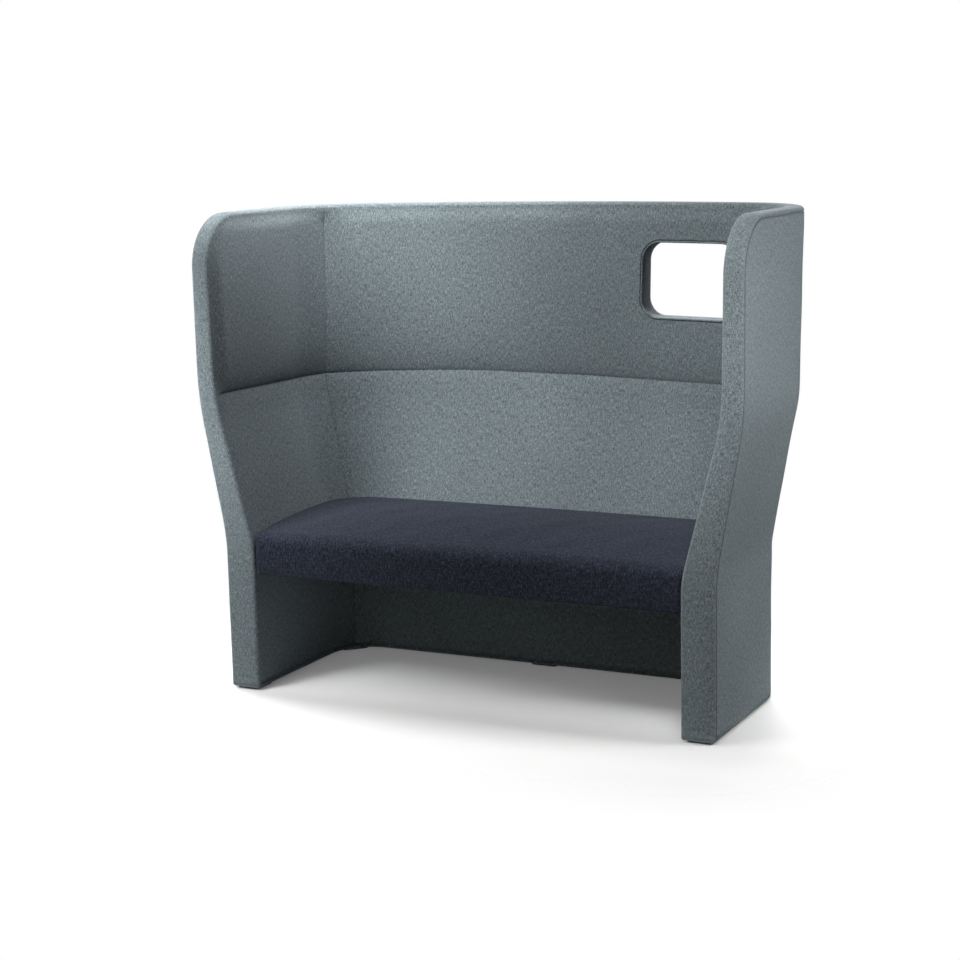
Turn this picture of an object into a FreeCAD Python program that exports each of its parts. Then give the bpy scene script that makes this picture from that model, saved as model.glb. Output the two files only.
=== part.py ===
import FreeCAD, Part
import math
import os

os.makedirs("parts", exist_ok=True)

# High-back sofa: an upholstered wall runs round three sides of a fixed seat.
# Millimetres. The floor is z = 0, the front faces -Y, x = 0 is the middle of the width.

# Shell, overall
overall_width = 1604.0
overall_depth = 800.0
overall_height = 1336.0
base_side_inset = 75.5
base_rear_inset = 173.0
crease_side_inset = 2.0
crease_rear_inset = 29.0
base_z = 6.0

# Heights where the wall changes slope; the inside knee is level with the seat's front lip
seat_bottom_z = 336.0
seat_lip_height = 82.0
knee_step = 20.0
crease_z = 834.0

# Wall thickness at the floor, at the crease and at the top
wall_low = 93.0
wall_crease = 58.0
wall_top = 53.0

# Plan shape of the inside face: corner radius, and how far the back bows out between the corners
corner_low = 118.0
corner_high = 226.0
bow_low = 3.0
bow_high = 71.0
front_corner_radius = 150.0

# Layers of the wall
cover = 2.0
outer_pad = 8.0
inner_pad = 25.0
base_cloth = 1.0
base_cloth_inset = 6.0

# Plywood frame
base_hoop_height = 24.0
hoop_height = 18.0
rib_thickness = 24.0
post_width = 90.0
wing_rib_from_front = 300.0
back_rib_left_x = -330.0
back_rib_mid_x = -60.0

# Window through the back, towards one end
window_left_x = 247.0
window_width = 310.0
window_from_top = 106.0
window_height = 225.0
window_radius = 60.0
window_frame_width = 18.0

# Seat
seat_setback = 8.0
seat_gap = 0.5
seat_round = 48.0
seat_shoulder_rise = 41.0
seat_crown_rise = 60.0
seat_rear_rise = 48.0
seat_side_drop = 6.0
seat_rear_overrun = 60.0
seat_front_pad = 18.0
seat_rail_thickness = 22.0
seat_rail_height = 68.0
cross_rail_drop = 20.0
cross_rail_x = 120.0
strap_width = 50.0
strap_thickness = 2.0
strap_pitch = 130.0
under_cloth = 1.0

# Seat fixings
bolt_radius = 4.0
bolt_head_radius = 7.0
bolt_head_height = 5.0
bolt_bite = 35.0
block_size = 60.0
bolt_rise = 36.0

# Levelling glides
glide_side_inset = 11.5
glide_along = 80.0
glide_from_front = 12.0
glide_corner = 10.0
glide_edge = 1.0
stem_radius = 4.0
stem_length = 28.0
stem_top_room = 4.0
thread_clearance = 0.05
hole_clearance = 0.6
nut_radius = 5.5
nut_height = 13.0
nut_flange_radius = 11.0
nut_flange = 1.5

# Joints between the foam blocks
foam_wedges = 3

front_y = -overall_depth / 2.0
rear_y = overall_depth / 2.0
overrun = 60.0
far = overall_width
base_width = overall_width - 2.0 * base_side_inset
base_depth = overall_depth - base_rear_inset
crease_depth = overall_depth - crease_rear_inset
inner_knee_z = seat_bottom_z + seat_lip_height
outer_knee_z = inner_knee_z + knee_step
window_sill_z = overall_height - window_from_top - window_height
frame_inset = cover + inner_pad
frame_thinnest = wall_top - frame_inset - cover - outer_pad
lap_depth = frame_thinnest / 2.0
core_base_z = base_z + base_cloth
diagonal = math.sqrt(0.5)


def level(z, half_width, depth, wall, corner, bow):
    """Plan of the inside face at one height, with the wall thickness there."""
    inside = half_width - wall
    back = front_y + depth - wall
    run = inside - corner
    back_radius = run * run / (2.0 * bow) + bow / 2.0
    centre_y = back - back_radius
    corner_y = centre_y + math.sqrt((back_radius - corner) ** 2 - run * run)
    turn = math.atan2(corner_y - centre_y, run)
    return {
        "z": z,
        "wall": wall,
        "run": run,
        "corner": corner,
        "corner_y": corner_y,
        "back_radius": back_radius,
        "centre_y": centre_y,
        "turn": turn,
    }


def raised(plan, z):
    moved = dict(plan)
    moved["z"] = z
    return moved


low = level(base_z, base_width / 2.0, base_depth, wall_low, corner_low, bow_low)
crease_half = overall_width / 2.0 - crease_side_inset
crease = level(crease_z, crease_half, crease_depth, wall_crease, corner_high, bow_high)
top = level(overall_height, overall_width / 2.0, overall_depth, wall_top, corner_high, bow_high)


def plan_wire(plan, grow, wire_front):
    """Closed plan: straight wings, round corners, bowed back, straight line across the front."""
    z = plan["z"]
    corner = plan["corner"] + grow
    back_radius = plan["back_radius"] + grow
    run = plan["run"]
    corner_y = plan["corner_y"]
    turn = plan["turn"]

    def point(x, y):
        return FreeCAD.Vector(x, y, z)

    wing_x = run + corner
    mid_x = run + corner * math.cos(turn / 2.0)
    mid_y = corner_y + corner * math.sin(turn / 2.0)
    end_x = run + corner * math.cos(turn)
    end_y = corner_y + corner * math.sin(turn)
    back_y = plan["centre_y"] + back_radius
    edges = [
        Part.LineSegment(point(-wing_x, wire_front), point(-wing_x, corner_y)).toShape(),
        Part.Arc(point(-wing_x, corner_y), point(-mid_x, mid_y), point(-end_x, end_y)).toShape(),
        Part.Arc(point(-end_x, end_y), point(0, back_y), point(end_x, end_y)).toShape(),
        Part.Arc(point(end_x, end_y), point(mid_x, mid_y), point(wing_x, corner_y)).toShape(),
        Part.LineSegment(point(wing_x, corner_y), point(wing_x, wire_front)).toShape(),
        Part.LineSegment(point(wing_x, wire_front), point(-wing_x, wire_front)).toShape(),
    ]
    return Part.Wire(edges)


def inside_body(grow):
    """Space within the wall's inside face, moved outwards by grow."""
    plans = [
        raised(low, base_z - overrun),
        raised(low, inner_knee_z),
        crease,
        top,
        raised(top, overall_height + overrun),
    ]
    wires = [plan_wire(plan, grow, front_y - overrun) for plan in plans]
    return Part.makeLoft(wires, True, True)


def outside_body(inset):
    """Solid out to the wall's outside face, moved inwards by inset."""
    plans = [low, raised(low, outer_knee_z), crease, top]
    wires = [plan_wire(plan, plan["wall"] - inset, front_y) for plan in plans]
    return Part.makeLoft(wires, True, True)


def box(x0, x1, y0, y1, z0, z1):
    return Part.makeBox(x1 - x0, y1 - y0, z1 - z0, FreeCAD.Vector(x0, y0, z0))


def slab(z0, z1):
    return box(-far, far, -far, far, z0, z1)


def edge_profile(inset, z0):
    """Side view of the wall: straight front edge, rounded upper front corner, level top."""
    front = front_y + inset
    head = overall_height - inset
    centre_y = front_y + front_corner_radius
    centre_z = overall_height - front_corner_radius
    radius = front_corner_radius - inset
    middle = radius * diagonal

    def point(y, z):
        return FreeCAD.Vector(-far, y, z)

    edges = [
        Part.LineSegment(point(front, z0), point(front, centre_z)).toShape(),
        Part.Arc(
            point(front, centre_z),
            point(centre_y - middle, centre_z + middle),
            point(centre_y, head),
        ).toShape(),
        Part.LineSegment(point(centre_y, head), point(rear_y + overrun, head)).toShape(),
        Part.LineSegment(point(rear_y + overrun, head), point(rear_y + overrun, z0)).toShape(),
        Part.LineSegment(point(rear_y + overrun, z0), point(front, z0)).toShape(),
    ]
    face = Part.Face(Part.Wire(edges))
    return face.extrude(FreeCAD.Vector(2.0 * far, 0, 0))


def wall(outer_inset, inner_inset, edge_inset, z0):
    body = outside_body(outer_inset).cut(inside_body(inner_inset))
    return body.common(edge_profile(edge_inset, z0))


def window_prism(grow):
    """Rounded window outline, run right through the back."""
    x0 = window_left_x - grow
    x1 = window_left_x + window_width + grow
    z0 = window_sill_z - grow
    z1 = window_sill_z + window_height + grow
    prism = box(x0, x1, 0, rear_y + overrun, z0, z1)
    depth = rear_y + overrun
    upright = [e for e in prism.Edges if abs(e.Length - depth) < 0.01]
    return prism.makeFillet(window_radius + grow, upright)


def joined(solids):
    return Part.makeCompound(solids)


def solid_of(shape):
    """The one solid in a shape, or a compound where there are several."""
    clean = shape.removeSplitter()
    if len(clean.Solids) == 1:
        return clean.Solids[0]
    return Part.makeCompound(clean.Solids)


nodes = {}

# Frame: plan-cut plywood hoops and shaped upright ribs, half-lapped where they cross
core = wall(cover + outer_pad, frame_inset, frame_inset, core_base_z)
lap = inside_body(frame_inset + lap_depth)
top_hoop_z = overall_height - frame_inset - hoop_height
hoop_bands = {
    "base_hoop": (core_base_z, core_base_z + base_hoop_height),
    "knee_hoop": (outer_knee_z - hoop_height, outer_knee_z),
    "crease_hoop": (crease_z - hoop_height / 2.0, crease_z + hoop_height / 2.0),
    "top_hoop": (top_hoop_z, top_hoop_z + hoop_height),
}
hoops = {name: core.common(slab(z0, z1)) for name, (z0, z1) in hoop_bands.items()}

half_rib = rib_thickness / 2.0
post_front = front_y + frame_inset
wing_rib_y = front_y + wing_rib_from_front
window_rib_x = window_left_x - cover - window_frame_width - half_rib
rib_boxes = {}
for side, sign in (("left", -1.0), ("right", 1.0)):
    x0 = min(0.0, sign * far)
    x1 = max(0.0, sign * far)
    rib_boxes["front_post_" + side] = box(x0, x1, post_front, post_front + post_width, 0, far)
    rib_boxes["wing_rib_" + side] = box(x0, x1, wing_rib_y - half_rib, wing_rib_y + half_rib, 0, far)
    plate = box(0, far, -half_rib, half_rib, 0, far)
    plate.rotate(FreeCAD.Vector(0, 0, 0), FreeCAD.Vector(0, 0, 1), 90.0 - sign * 45.0)
    plate.translate(FreeCAD.Vector(sign * low["run"], low["corner_y"], 0))
    rib_boxes["corner_rib_" + side] = plate
for name, x in (
    ("back_rib_left", back_rib_left_x),
    ("back_rib_mid", back_rib_mid_x),
    ("back_rib_window", window_rib_x),
):
    rib_boxes[name] = box(x - half_rib, x + half_rib, 0, far, 0, far)
ribs = {name: core.common(shape) for name, shape in rib_boxes.items()}

rib_laps = joined(list(ribs.values())).common(lap)
hoop_laps = joined(list(hoops.values())).cut(lap)
for name, shape in hoops.items():
    nodes[name] = shape.cut(rib_laps)
for name, shape in ribs.items():
    nodes[name] = shape.cut(hoop_laps)
window_ring = window_prism(cover + window_frame_width).cut(window_prism(cover))
nodes["window_frame"] = core.common(window_ring)
frame_names = list(nodes)

# Covers: the inside cover wraps the front edges and the rim as far as the outside face
shell = wall(0, 0, 0, base_z)
padding = wall(cover, cover, cover, base_z)
outer_layer = outside_body(cover)
window_hole = window_prism(0)
inside_cover = shell.common(outer_layer).cut(padding).cut(window_hole)
outside_cover = shell.cut(outer_layer).cut(window_hole)


def seam_point(plan, grow):
    """Middle of a corner, where the wing's cover is sewn to the back's."""
    half_turn = plan["turn"] / 2.0
    reach = plan["corner"] + grow
    x = plan["run"] + reach * math.cos(half_turn)
    y = plan["corner_y"] + reach * math.sin(half_turn)
    return x, y


def wing_side(sign, seam, higher):
    """Everything on a wing's side of the upright plane through its corner seam."""
    angle = math.degrees(math.atan2(higher[1] - seam[1], higher[0] - seam[0]))
    side = box(-seam[0], far, -far, 0, 0, far)
    side.rotate(FreeCAD.Vector(0, 0, 0), FreeCAD.Vector(0, 0, 1), angle)
    side.translate(FreeCAD.Vector(seam[0], seam[1], 0))
    side = side.common(box(0, far, -far, far, 0, far))
    if sign < 0:
        side = side.mirror(FreeCAD.Vector(0, 0, 0), FreeCAD.Vector(1, 0, 0))
    return side


sewn_layers = (
    ("cover_inside_", inside_cover, 0.0, 0.0),
    ("cover_outside_", outside_cover, low["wall"], crease["wall"]),
)
for prefix, layer, low_grow, crease_grow in sewn_layers:
    low_seam = seam_point(low, low_grow)
    crease_seam = seam_point(crease, crease_grow)
    left = wing_side(-1.0, low_seam, crease_seam)
    right = wing_side(1.0, low_seam, crease_seam)
    nodes[prefix + "left"] = layer.common(left)
    nodes[prefix + "right"] = layer.common(right)
    nodes[prefix + "back"] = layer.cut(left).cut(right)
nodes["window_lining"] = padding.common(window_prism(cover).cut(window_hole))
cloth = wall(base_cloth_inset, base_cloth_inset, base_cloth_inset, base_z)
nodes["base_cloth"] = cloth.common(slab(base_z, core_base_z))

# Levelling glides: a pad on a threaded stem, in a flanged nut let into the base hoop
wall_mid = wall_low / 2.0
wing_mid_x = base_width / 2.0 - wall_mid
corner_mid = (corner_low + wall_mid) * diagonal
back_mid_y = front_y + base_depth - wall_mid
front_glide_y = front_y + glide_from_front + glide_along / 2.0
glide_spots = {
    "front_left": (-wing_mid_x, front_glide_y, 0.0),
    "front_right": (wing_mid_x, front_glide_y, 0.0),
    "rear_left": (-low["run"] - corner_mid, low["corner_y"] + corner_mid, -45.0),
    "rear_right": (low["run"] + corner_mid, low["corner_y"] + corner_mid, 45.0),
    "back_mid": (0.0, back_mid_y, 90.0),
}


def upright(x, y, z0, z1, radius):
    return Part.makeCylinder(radius, z1 - z0, FreeCAD.Vector(x, y, z0))


stem_top = base_z + stem_length
glide_across = wall_low - 2.0 * glide_side_inset
nut_holes = []
stem_holes = []
nuts = []
for name, (x, y, turn) in glide_spots.items():
    pad = box(-glide_across / 2.0, glide_across / 2.0, -glide_along / 2.0, glide_along / 2.0, 0, base_z)
    pad = pad.makeFillet(glide_corner, [e for e in pad.Edges if abs(e.Length - base_z) < 0.01])
    pad = pad.makeChamfer(glide_edge, [e for e in pad.Edges if e.BoundBox.ZMax < 0.01])
    pad.rotate(FreeCAD.Vector(0, 0, 0), FreeCAD.Vector(0, 0, 1), turn)
    pad.translate(FreeCAD.Vector(x, y, 0))
    stem = upright(x, y, base_z, stem_top, stem_radius)
    nodes["glide_" + name] = pad.fuse(stem)
    flange = upright(x, y, core_base_z, core_base_z + nut_flange, nut_flange_radius)
    barrel = upright(x, y, core_base_z, core_base_z + nut_height, nut_radius)
    nut = flange.fuse(barrel)
    bore = upright(x, y, 0, stem_top, stem_radius + thread_clearance)
    nut_holes.append(nut)
    nuts.append(solid_of(nut.cut(bore)))
    stem_holes.append(upright(x, y, 0, stem_top + stem_top_room, stem_radius + hole_clearance))
nodes["glide_nuts"] = joined(nuts)

# Seat: rails and webbing under a crowned foam, in a cover of its own
seat_front = front_y + seat_setback
seat_top_run = seat_rear_overrun + base_depth
seat_lip_z = inner_knee_z
seat_shoulder_z = seat_lip_z + seat_shoulder_rise
seat_crown_z = seat_lip_z + seat_crown_rise
seat_rear_z = seat_lip_z + seat_rear_rise
bolt_z = seat_bottom_z + bolt_rise


def seat_section(x, drop, inset):
    """One front-to-rear section of the seat, with its rounded front edge and its crown."""
    front = seat_front + inset
    lip = seat_lip_z
    shoulder = seat_shoulder_z - drop - inset
    shoulder_y = seat_front + seat_round
    round_y = front + (shoulder_y - front) * (1.0 - diagonal)
    round_z = lip + (shoulder - lip) * diagonal
    rear = front_y + seat_top_run
    crown_y = (shoulder_y + rear) / 2.0

    def point(y, z):
        return FreeCAD.Vector(x, y, z)

    edges = [
        Part.LineSegment(point(front, seat_bottom_z), point(front, lip)).toShape(),
        Part.Arc(point(front, lip), point(round_y, round_z), point(shoulder_y, shoulder)).toShape(),
        Part.Arc(
            point(shoulder_y, shoulder),
            point(crown_y, seat_crown_z - drop - inset),
            point(rear, seat_rear_z - drop - inset),
        ).toShape(),
        Part.LineSegment(point(rear, seat_rear_z - drop - inset), point(rear, seat_bottom_z)).toShape(),
        Part.LineSegment(point(rear, seat_bottom_z), point(front, seat_bottom_z)).toShape(),
    ]
    return Part.Wire(edges)


def seat_body(inset):
    half = base_width / 2.0
    sections = [
        seat_section(-half, seat_side_drop, inset),
        seat_section(0.0, 0.0, inset),
        seat_section(half, seat_side_drop, inset),
    ]
    crowned = Part.makeLoft(sections, True, False)
    return crowned.common(inside_body(-seat_gap - inset))


rail_base = seat_bottom_z + under_cloth
rail_top = rail_base + seat_rail_height
web_top = rail_top + strap_thickness
front_rail_y = seat_front + cover + seat_front_pad
front_rail_rear = front_rail_y + seat_rail_thickness
seat_fill = seat_body(cover)
nodes["seat_cover"] = seat_body(0).cut(seat_fill)
rail_space = box(-far, far, front_rail_y, far, 0, web_top).fuse(slab(0, rail_base))
nodes["seat_foam"] = seat_fill.cut(rail_space)
nodes["seat_under_cloth"] = seat_fill.common(slab(seat_bottom_z, rail_base))

rail_zone = seat_fill.common(slab(rail_base, rail_top))
rail_inside = inside_body(-seat_gap - cover - seat_rail_thickness)
rail_ring = rail_zone.cut(rail_inside).common(box(-far, far, front_rail_rear, far, 0, far))
bend_x = low["run"]
bend_y = low["corner_y"]
nodes["seat_rail_front"] = rail_zone.common(box(-far, far, front_rail_y, front_rail_rear, 0, far))
nodes["seat_rail_left"] = rail_ring.common(box(-far, 0, -far, bend_y, 0, far))
nodes["seat_rail_right"] = rail_ring.common(box(0, far, -far, bend_y, 0, far))
nodes["seat_corner_left"] = rail_ring.common(box(-far, -bend_x, bend_y, far, 0, far))
nodes["seat_corner_right"] = rail_ring.common(box(bend_x, far, bend_y, far, 0, far))
nodes["seat_rail_back"] = rail_ring.common(box(-bend_x, bend_x, bend_y, far, 0, far))
half_rail = seat_rail_thickness / 2.0
cross_zone = rail_zone.common(rail_inside)
for side, sign in (("left", -1.0), ("right", 1.0)):
    x = sign * cross_rail_x
    nodes["seat_cross_rail_" + side] = cross_zone.common(
        box(x - half_rail, x + half_rail, front_rail_rear, far, 0, rail_top - cross_rail_drop)
    )
strap_zone = seat_fill.common(slab(rail_top, web_top))
inside_half = base_width / 2.0 - wall_low
strap_reach = inside_half - seat_gap - cover - seat_rail_thickness - strap_width / 2.0
strap_count = 2 * int(strap_reach / strap_pitch) + 1
straps = []
for i in range(strap_count):
    x = (i - (strap_count - 1) / 2.0) * strap_pitch
    strap = box(x - strap_width / 2.0, x + strap_width / 2.0, front_rail_y, far, 0, far)
    straps.append(solid_of(strap_zone.common(strap)))
nodes["seat_webbing"] = joined(straps)

# Seat fixings: bolts through the rails and through hard blocks in the padding, into posts and ribs
head_reach = seat_gap + cover + seat_rail_thickness
bolt_length = head_reach + frame_inset + bolt_bite
pad_layer = inside_body(frame_inset).cut(inside_body(cover))
half_block = block_size / 2.0
inside_back = front_y + base_depth - wall_low
bolts = []
blocks = []


def add_bolt(seat_point, direction):
    shank = Part.makeCylinder(bolt_radius, bolt_length, seat_point, direction)
    head_start = seat_point - direction * bolt_head_height
    head = Part.makeCylinder(bolt_head_radius, bolt_head_height, head_start, direction)
    bolts.append(solid_of(shank.fuse(head)))


for sign in (-1.0, 1.0):
    for y in (post_front + post_width / 2.0, wing_rib_y):
        add_bolt(FreeCAD.Vector(sign * (inside_half - head_reach), y, bolt_z), FreeCAD.Vector(sign, 0, 0))
        reach = box(
            min(0.0, sign * far), max(0.0, sign * far), y - half_block, y + half_block,
            bolt_z - half_block, bolt_z + half_block,
        )
        blocks.append(pad_layer.common(reach))
for x in (back_rib_left_x, window_rib_x):
    bow_here = low["back_radius"] - math.sqrt(low["back_radius"] ** 2 - x * x)
    add_bolt(FreeCAD.Vector(x, inside_back - bow_here - head_reach, bolt_z), FreeCAD.Vector(0, 1, 0))
    reach = box(x - half_block, x + half_block, 0, far, bolt_z - half_block, bolt_z + half_block)
    blocks.append(pad_layer.common(reach))
all_bolts = joined(bolts)
nodes["seat_bolts"] = all_bolts
nodes["seat_blocks"] = joined([solid_of(block.cut(all_bolts)) for block in blocks])

# Holes for the fixings
for name in frame_names:
    nodes[name] = nodes[name].cut(joined(nut_holes + stem_holes + bolts))
nodes["base_cloth"] = nodes["base_cloth"].cut(joined(stem_holes))
for name in list(nodes):
    if name == "seat_cover" or name.startswith(("seat_rail", "cover_inside")):
        nodes[name] = nodes[name].cut(all_bolts)

# Foam: blocks fitted round the frame, wedge-shaped at the corners, parted at the knee and the crease
hard = joined([nodes[name] for name in frame_names] + blocks + bolts + nut_holes + stem_holes)
moulding = padding.common(slab(core_base_z, far)).cut(window_prism(cover))
foam_knee_z = (outer_knee_z + inner_knee_z) / 2.0
foam_bands = {
    "low": (core_base_z, foam_knee_z, low),
    "mid": (foam_knee_z, crease_z, crease),
    "high": (crease_z, overall_height, crease),
}
window_edge = window_left_x - cover
window_middle_z = window_sill_z + window_height / 2.0


def wedge(plan, first, last, sign):
    """Upright wedge about a corner's centre, between two angles from the wing's side."""
    corners = [(plan["run"], plan["corner_y"])]
    for angle in (first, last):
        x = plan["run"] + far * math.cos(math.radians(angle))
        y = plan["corner_y"] + far * math.sin(math.radians(angle))
        corners.append((x, y))
    corners.append(corners[0])
    outline = Part.makePolygon([FreeCAD.Vector(sign * x, y, 0) for x, y in corners])
    return Part.Face(outline).extrude(FreeCAD.Vector(0, 0, far))


def pieces(ring, cutters):
    cut_out = [ring.common(cutter) for cutter in cutters]
    return joined([solid for shape in cut_out for solid in shape.removeSplitter().Solids])


for band, (z0, z1, plan) in foam_bands.items():
    part_x = plan["run"]
    part_y = plan["corner_y"]
    third_x = part_x / 3.0
    wedge_angle = 90.0 / foam_wedges
    ring = moulding.common(slab(z0, z1)).cut(hard)
    nodes["foam_wing_left_" + band] = ring.common(box(-far, 0, -far, part_y, 0, far))
    nodes["foam_wing_right_" + band] = ring.common(box(0, far, -far, part_y, 0, far))
    for side, sign in (("left", -1.0), ("right", 1.0)):
        wedges = [wedge(plan, i * wedge_angle, (i + 1) * wedge_angle, sign) for i in range(foam_wedges)]
        nodes["foam_corner_" + side + "_" + band] = pieces(ring, wedges)
    window_end = max(third_x, min(part_x, window_edge)) if band == "high" else part_x
    back_blocks = [
        box(-part_x, -third_x, part_y, far, 0, far),
        box(-third_x, third_x, part_y, far, 0, far),
        box(third_x, window_end, part_y, far, 0, far),
    ]
    if window_end < part_x:
        back_blocks.append(box(window_end, part_x, part_y, far, 0, window_middle_z))
        back_blocks.append(box(window_end, part_x, part_y, far, window_middle_z, far))
    nodes["foam_back_" + band] = pieces(ring, back_blocks)

for name, shape in nodes.items():
    solid_of(shape).exportStep("parts/" + name + ".step")
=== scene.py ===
import math
import bmesh
import bpy
import numpy as np
from mathutils import Matrix


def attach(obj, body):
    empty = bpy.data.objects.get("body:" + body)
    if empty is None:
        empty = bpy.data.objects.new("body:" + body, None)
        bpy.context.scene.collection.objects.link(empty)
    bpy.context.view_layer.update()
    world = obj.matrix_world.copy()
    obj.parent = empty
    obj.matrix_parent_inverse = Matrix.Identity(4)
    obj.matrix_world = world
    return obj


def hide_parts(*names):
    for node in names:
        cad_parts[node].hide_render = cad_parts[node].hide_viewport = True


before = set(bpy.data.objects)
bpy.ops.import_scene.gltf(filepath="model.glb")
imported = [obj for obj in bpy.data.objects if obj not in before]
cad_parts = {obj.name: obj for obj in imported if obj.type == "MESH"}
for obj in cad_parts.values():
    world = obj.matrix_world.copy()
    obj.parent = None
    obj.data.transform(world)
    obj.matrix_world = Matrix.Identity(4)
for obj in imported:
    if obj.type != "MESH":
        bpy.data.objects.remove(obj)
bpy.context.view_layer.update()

from types import SimpleNamespace

scene = bpy.context.scene

# High-back sofa. Shapes are worked out in millimetres and scaled to metres.
MM = 0.001

# A distance past every fade, and the middle of the space between the wings
FAR = 1000.0
ROOM_MIDDLE_Y = -60.0

# Wall: heights, rounded edges and the seam between the inside and outside covers
FRONT = -400.0
BASE = 6.0
TOP = 1336.0
CREASE = 834.0
KNEE_IN = 418.0
KNEE_OUT = 438.0
HEAD_RADIUS = 150.0
EDGE_IN = 10.0
EDGE_OUT = 13.0
EDGE_STEP = 0.26
EDGE_SWELL = 1.6
OUT_SEAM = 7.0
ROLL = 8.0
ROLL_STEP = 2.5
TUCK_END = 26.0
OUTER_CORNER_GROWTH = 60.0

# Half lengths of the bends at the knee and at the crease, soft at the front edges and sharp past them
BEND_IN_SHARP = (30.0, 6.0)
BEND_IN_SOFT = (40.0, 70.0)
BEND_OUT_SHARP = (12.0, 35.0)
BEND_OUT_SOFT = (55.0, 85.0)
SOFT_REACH_IN = 40.0
SOFT_REACH_OUT = 140.0

# Padding above the crease, and the smaller swelling below it
PAD_BULGE = 9.0
PAD_BULGE_HEIGHT = 130.0
PAD_LIP = 5.0
PAD_LIP_HEIGHT = 18.0
PAD_THINNING = 0.5
PAD_THIN_START = 140.0
PAD_THIN_OVER = 320.0
SWELL_BELOW = 2.5
SWELL_DROP = 26.0
SWELL_WIDTH = 24.0

# Crease: its groove, its painted shade line, and how far it climbs round the wall
CREASE_FROM_EDGE = 30.0
CREASE_GROOVE = 1.8
CREASE_GROOVE_WIDTH = 3.0
CREASE_PAINTED_SHADE = 0.1
CREASE_PAINTED_SHADE_WIDTH = 2.0
CLIMB_WIDTH = 70.0
WING_CLIMB = 5.0
LEFT_CORNER_CLIMB = 4.0
RIGHT_CORNER_CLIMB = 0.8
BACK_CLIMB = 4.0
BACK_HUMP = 5.0
BACK_HUMP_X = -290.0
BACK_HUMP_WIDTH = 190.0
BACK_CLIMB_LOSS = 0.8
BACK_LOSS_X = 60.0
BACK_LOSS_OVER = 240.0

# Upright corner seams: depth or painted shade, and width
IN_SEAM_GROOVE = (1.2, 2.6)
IN_CORNER_FOLD = (14.0, 38.0)
IN_SEAM_PAINTED_SHADE = (0.32, 2.2)
OUT_SEAM_GROOVE = (2.4, 2.6)
OUT_SEAM_DIP = (1.5, 14.0)
OUT_SEAM_PAINTED_SHADE_WIDTH = 1.8

# Painted shade: how much darker the cloth is painted in seams and creases
SEAM_PAINTED_SHADE = 0.62

# Slow unevenness of the cloth, and where it fades out
SWAY_IN = 1.1
SWAY_OUT = 1.2
SWAY_COUNT = 7
SWAY_SHORTEST = 170.0
SWAY_LONGEST = 520.0
EDGE_FADE = 45.0
SEAM_FADE = 60.0
BASE_FADE = 60.0
SEAT_CLEAR_Z = 490.0
SEAT_CLEAR_OVER = 90.0
WINDOW_FLAT = 24.0
WINDOW_FADE = 60.0

# Window as it shows, with the padding rolled over its edge
WINDOW_X = 407.0
WINDOW_Z = 1119.0
WINDOW_W = 300.0
WINDOW_H = 209.0
WINDOW_R = 52.0
WINDOW_MARGIN = 28.0
WINDOW_MARGIN_RIGHT = 24.0
WINDOW_RING = 19.0
REVEAL_EDGE = 6.0

# Seat cushion
SEAT_FRONT = -392.0
SEAT_BOTTOM = 336.0
SEAT_LIP = 418.0
SEAT_SHOULDER = 459.0
SEAT_EDGE_Z = 462.0
SEAT_ROUND = 48.0
SEAT_CROWN = 478.0
SEAT_CROWN_REACH = 316.0
SEAT_BACK_DROP = 4.0
SEAT_SIDE_DROP = 6.0
SEAT_SIDE_REACH = 260.0
SEAT_FRONT_SWELL = 2.2
SEAT_HEM = 6.0
SEAT_HEM_FLAT = 1.0
SEAT_HEM_LIFT = 0.5
SEAT_EDGE_ROUND = 9.0
SEAT_GAP = 0.6
SEAT_UNDER_TURN = (26.0, 14.0)
SEAT_SIDE_SETBACK = 12.0
SEAT_SIDE_RISE = 1.0
SEAT_SIDE_CLOTH = 30.0
FRONT_RIPPLE = 0.7
FRONT_RIPPLE_FADE = 40.0
FRONT_RIPPLE_START = 4.0
TOP_RIPPLE = 1.1
TOP_RIPPLE_FADE = 50.0
TOP_RIPPLE_START = 60.0
TOP_RIPPLE_SHIFT = 800.0

# Dust cloths under the seat and under the wall
DUST_PLAN_Z = 340.0
DUST_GAP = 3.0
DUST_FRONT = 22.0
DUST_HALF = 630.0
DUST_DROP = 0.4
DUST_SAG = 3.0
DUST_SAG_OVER = 160.0
DUST_UNEVEN = 0.8
DUST_UNEVEN_OVER = 60.0
STRIP_FRONT = FRONT + 8.0
STRIP_CORNER_GAP = 12.0
STRIP_DEPTHS = (6.0, 20.0, 34.0, 46.5, 59.0, 73.0, 87.0)
STRIP_RISE = 0.8
STRIP_UNEVEN = 0.3

# Studio, in metres: the floor's half side, where it is solid, and how it fades out past that
FLOOR_HALF = 3.0
FLOOR_SOLID = (0.62, 0.36, 0.0)
FLOOR_FADE_START = 0.12
FLOOR_FADE_END = 0.66
FLOOR_LEAST_FADE = 0.12


def smooth(t):
    t = np.clip(t, 0.0, 1.0)
    return t * t * (3.0 - 2.0 * t)


def bell(distance, width):
    return np.exp(-(distance / width) ** 2)


def level(half, depth, wall, corner, bow):
    """Plan of the wall at one height, the same for inside and outside faces."""
    back = FRONT + depth - wall
    run = half - wall - corner
    radius = run * run / (2.0 * bow) + bow / 2.0
    centre = back - radius
    corner_y = centre + math.sqrt((radius - corner) ** 2 - run * run)
    return {
        "wall": wall,
        "run": run,
        "corner": corner,
        "corner_y": corner_y,
        "radius": radius,
        "centre": centre,
        "turn": math.atan2(corner_y - centre, run),
    }


# Half width, depth, wall, inside corner radius and the back's bow at the base, the crease and the top
LEVELS = (
    level(726.5, 627.0, 93.0, 118.0, 3.0),
    level(800.0, 771.0, 58.0, 226.0, 71.0),
    level(802.0, 800.0, 53.0, 226.0, 71.0),
)
WING, CORNER, BACK = 0, 1, 2


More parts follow.
